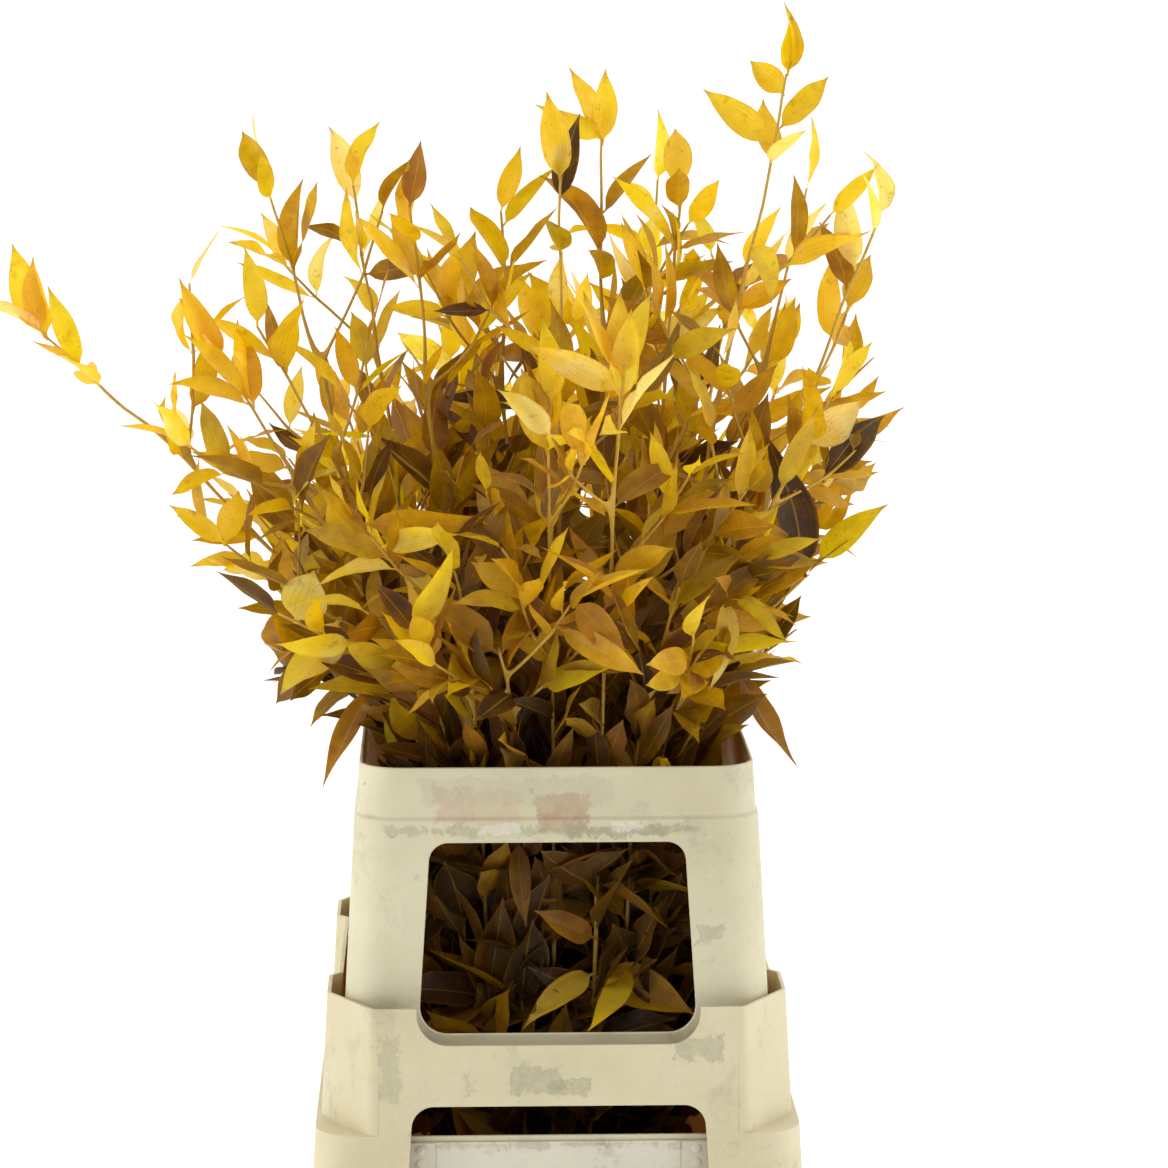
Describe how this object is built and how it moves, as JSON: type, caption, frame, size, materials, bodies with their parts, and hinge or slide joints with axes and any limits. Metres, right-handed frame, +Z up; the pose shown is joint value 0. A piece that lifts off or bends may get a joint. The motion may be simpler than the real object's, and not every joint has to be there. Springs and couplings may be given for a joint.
{
  "type": "preserved foliage bunch in a trade holder",
  "caption": "Dense upright bunch of preserved, dyed golden-yellow leafy stems standing in a cream plastic bucket with stacked collars that have rounded windows",
  "frame": {"origin": "middle of the bucket's underside", "axes": "+Z up along the stems, -Y the front that the picture shows, +X to the right in it"},
  "size_m": [0.5978, 0.5333, 0.9608],
  "materials": {
    "bucket_plastic": "scuffed cream polyethylene",
    "collar_plastic": "scuffed cream polyethylene, slightly see-through where lit from behind",
    "card_plastic": "clear-to-milky plastic sleeve, dusty",
    "foliage": "dyed preserved leaf, satin, thin enough to glow when lit from behind"
  },
  "bodies": {
    "root": {"bucket": "bucket_plastic", "card_holder": "card_plastic", "lower_collar": "collar_plastic", "upper_collar": "collar_plastic", "stem_01": "foliage", "stem_02": "foliage", "stem_03": "foliage", "stem_04": "foliage", "stem_05": "foliage", "stem_06": "foliage", "stem_07": "foliage", "stem_08": "foliage", "stem_09": "foliage", "stem_10": "foliage", "stem_11": "foliage", "stem_12": "foliage", "stem_13": "foliage", "stem_14": "foliage", "stem_15": "foliage", "stem_16": "foliage", "stem_17": "foliage", "stem_18": "foliage", "stem_19": "foliage", "stem_20": "foliage", "stem_21": "foliage", "stem_22": "foliage", "stem_23": "foliage", "stem_24": "foliage", "stem_25": "foliage", "stem_26": "foliage", "stem_27": "foliage", "stem_28": "foliage", "stem_29": "foliage", "stem_30": "foliage", "stem_31": "foliage", "stem_32": "foliage", "stem_33": "foliage", "stem_34": "foliage", "stem_35": "foliage", "stem_36": "foliage", "stem_37": "foliage", "stem_38": "foliage", "stem_39": "foliage", "stem_40": "foliage", "stem_41": "foliage", "stem_42": "foliage", "stem_43": "foliage", "stem_44": "foliage"}
  },
  "joints": []
}
